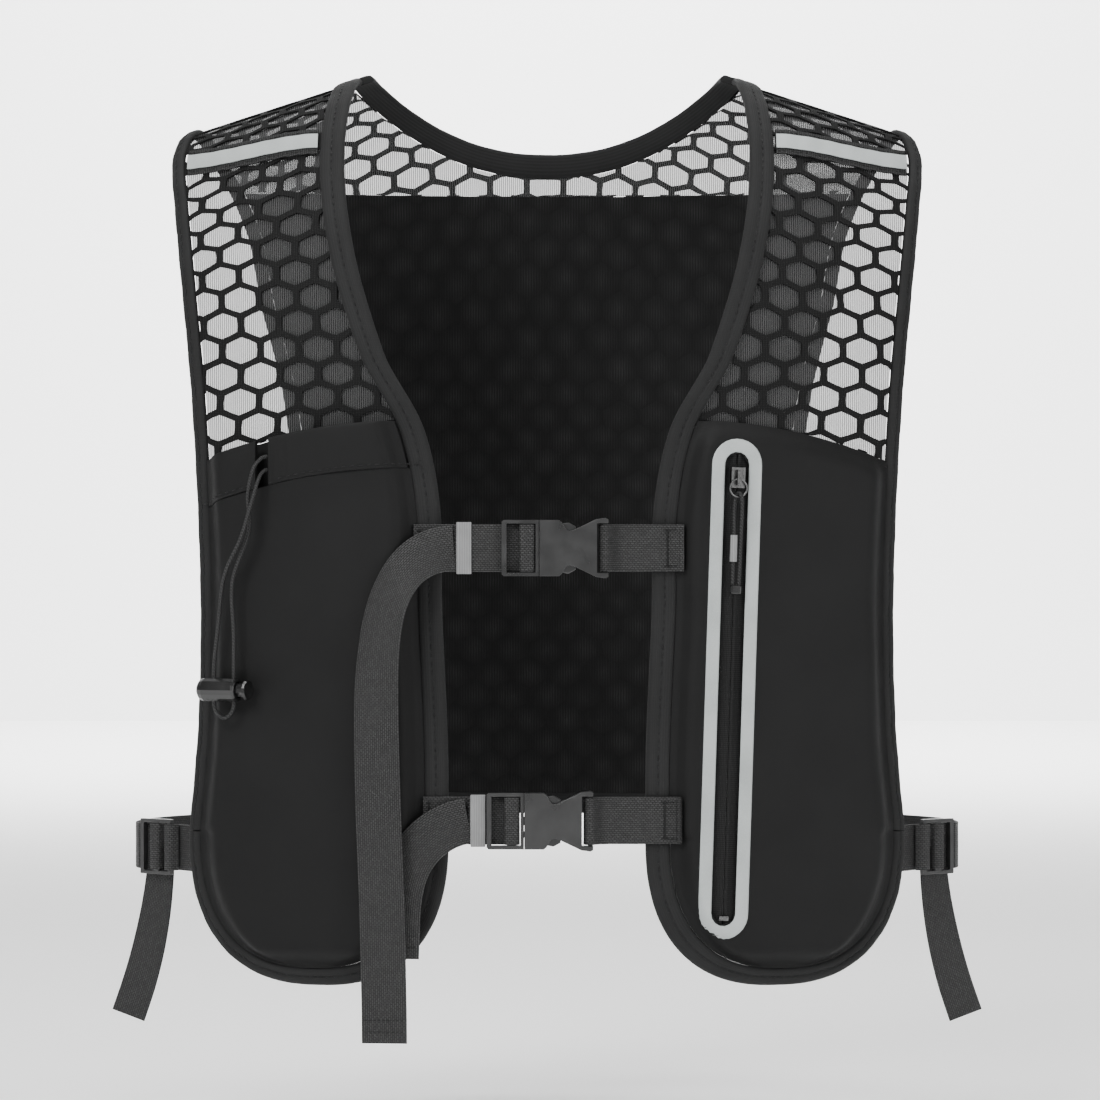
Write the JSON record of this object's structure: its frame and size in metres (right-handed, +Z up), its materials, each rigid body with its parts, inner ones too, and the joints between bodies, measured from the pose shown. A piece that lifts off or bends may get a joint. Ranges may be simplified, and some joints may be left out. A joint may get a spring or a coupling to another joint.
{
  "type": "utility vest",
  "caption": "Open-fronted mesh vest with a drawcord pocket, a zipped pocket, chest straps with side-release buckles and side adjusters.",
  "frame": {"origin": "middle of the wearer's chest space, at half the height of the two front panels", "axes": "+X to the right of a viewer facing the chest, -Y out of the chest towards that viewer, +Z up"},
  "size_m": [0.472, 0.2339, 0.5193],
  "materials": {
    "mesh": "open hexagon mesh",
    "fabric": "matte ripstop weave",
    "binding": "folded stretch binding",
    "webbing": "woven polyester webbing",
    "plastic": "moulded acetal, satin",
    "reflective": "glass-bead reflective film",
    "film": "grey elastic keeper",
    "zip": "coil zip and woven tape",
    "metal": "nickel plated",
    "cord": "braided elastic cord"
  },
  "bodies": {
    "vest": {"left_front_mesh": "mesh", "left_pocket_back": "fabric", "left_front_binding": "binding", "left_armhole_binding": "binding", "left_shoulder_tape": "webbing", "left_shoulder_reflector": "reflective", "left_side_stub": "webbing", "left_side_strap": "webbing", "left_side_loose_end": "webbing", "right_front_mesh": "mesh", "right_pocket_back": "fabric", "right_front_binding": "binding", "right_armhole_binding": "binding", "right_shoulder_tape": "webbing", "right_shoulder_reflector": "reflective", "right_side_stub": "webbing", "right_side_strap": "webbing", "right_side_loose_end": "webbing", "upper_female_body": "plastic", "upper_female_webbing": "webbing", "upper_anchor_webbing": "webbing", "lower_female_body": "plastic", "lower_female_webbing": "webbing", "lower_anchor_webbing": "webbing", "left_pocket_front": "fabric", "left_pocket_hem_inner": "fabric", "left_pocket_hem_outer": "fabric", "right_pocket_front": "fabric", "zip_reflector": "reflective", "zip_tape_inner": "zip", "zip_tape_outer": "zip", "zip_chain": "zip", "zip_bottom_stop": "metal", "drawcord": "cord", "back_neck_binding": "binding", "back_yoke": "mesh", "back_panel": "fabric", "back_hem_binding": "binding"},
    "upper_male_half": {"upper_male_frame": "plastic", "upper_male_webbing": "webbing", "upper_loose_end": "webbing"},
    "upper_keeper_ring": {"upper_keeper": "film"},
    "upper_latch_arm_top": {"upper_latch_top": "plastic"},
    "upper_latch_arm_bottom": {"upper_latch_bottom": "plastic"},
    "lower_male_half": {"lower_male_frame": "plastic", "lower_male_webbing": "webbing", "lower_loose_end": "webbing", "lower_keeper": "film"},
    "lower_latch_arm_top": {"lower_latch_top": "plastic"},
    "lower_latch_arm_bottom": {"lower_latch_bottom": "plastic"},
    "zip_slider_body": {"zip_slider": "metal"},
    "zip_pull": {"zip_pull_ring": "metal", "zip_pull_cord": "cord", "zip_pull_sleeve": "reflective", "zip_pull_end": "cord"},
    "cord_lock": {"cord_lock_barrel": "plastic", "cord_lock_spring": "metal"},
    "cord_lock_button": {"cord_lock_plunger": "plastic"},
    "left_adjuster": {"left_side_slider": "plastic"},
    "right_adjuster": {"right_side_slider": "plastic"}
  },
  "joints": [
    {"name": "upper_buckle_release", "type": "slide", "parent": "vest", "child": "upper_male_half", "axis": [-1, 0, 0], "range_m": [0, 0.02], "deforming": ["upper_latch_top", "upper_latch_bottom"]},
    {"name": "upper_latch_top_squeeze", "type": "hinge", "parent": "upper_male_half", "child": "upper_latch_arm_top", "pos_m": [-0.0009, -0.11877, 0.008], "axis": [0, 1, 0], "range_deg": [0, 8], "stiffness_Nm_per_rad": 0.02},
    {"name": "upper_latch_bottom_squeeze", "type": "hinge", "parent": "upper_male_half", "child": "upper_latch_arm_bottom", "pos_m": [-0.0009, -0.11877, -0.006], "axis": [0, 1, 0], "range_deg": [-8, 0], "stiffness_Nm_per_rad": 0.02},
    {"name": "upper_keeper_slide", "type": "slide", "parent": "upper_male_half", "child": "upper_keeper_ring", "axis": [1, 0, 0], "range_m": [0, 0.01]},
    {"name": "lower_buckle_release", "type": "slide", "parent": "vest", "child": "lower_male_half", "axis": [-1, 0, 0], "range_m": [0, 0.02], "deforming": ["lower_latch_top", "lower_latch_bottom"]},
    {"name": "lower_latch_top_squeeze", "type": "hinge", "parent": "lower_male_half", "child": "lower_latch_arm_top", "pos_m": [-0.0088, -0.11877, -0.135], "axis": [0, 1, 0], "range_deg": [0, 8], "stiffness_Nm_per_rad": 0.02},
    {"name": "lower_latch_bottom_squeeze", "type": "hinge", "parent": "lower_male_half", "child": "lower_latch_arm_bottom", "pos_m": [-0.0088, -0.11877, -0.149], "axis": [0, 1, 0], "range_deg": [-8, 0], "stiffness_Nm_per_rad": 0.02},
    {"name": "zip_slide", "type": "slide", "parent": "vest", "child": "zip_slider_body", "axis": [-0.0315, -0.0063, -0.9995], "range_m": [0, 0.215]},
    {"name": "zip_pull_swing", "type": "hinge", "parent": "zip_slider_body", "child": "zip_pull", "pos_m": [0.10069, -0.1157, 0.037], "axis": [0.9788, 0.2021, -0.0321], "range_deg": [-90, 0]},
    {"name": "cord_lock_slide", "type": "slide", "parent": "vest", "child": "cord_lock", "axis": [0, 0, 1], "range_m": [0, 0.03], "deforming": ["drawcord"]},
    {"name": "cord_lock_press", "type": "slide", "parent": "cord_lock", "child": "cord_lock_button", "axis": [-0.8838, 0.4678, 0], "range_m": [0, 0.003], "stiffness_N_per_m": 300, "springref_m": -0.002, "deforming": ["cord_lock_spring", "drawcord"]},
    {"name": "left_adjuster_tilt", "type": "hinge", "parent": "vest", "child": "left_adjuster", "pos_m": [-0.2028, -0.0484, -0.16], "axis": [0, 0, 1], "range_deg": [0, 15], "deforming": ["left_side_strap", "left_side_loose_end"]},
    {"name": "right_adjuster_tilt", "type": "hinge", "parent": "vest", "child": "right_adjuster", "pos_m": [0.2028, -0.0484, -0.16], "axis": [0, 0, 1], "range_deg": [-15, 0], "deforming": ["right_side_strap", "right_side_loose_end"]}
  ],
  "couplings": [
    {"joint": "upper_latch_bottom_squeeze", "follows": "upper_latch_top_squeeze", "ratio": -1},
    {"joint": "lower_latch_bottom_squeeze", "follows": "lower_latch_top_squeeze", "ratio": -1}
  ]
}
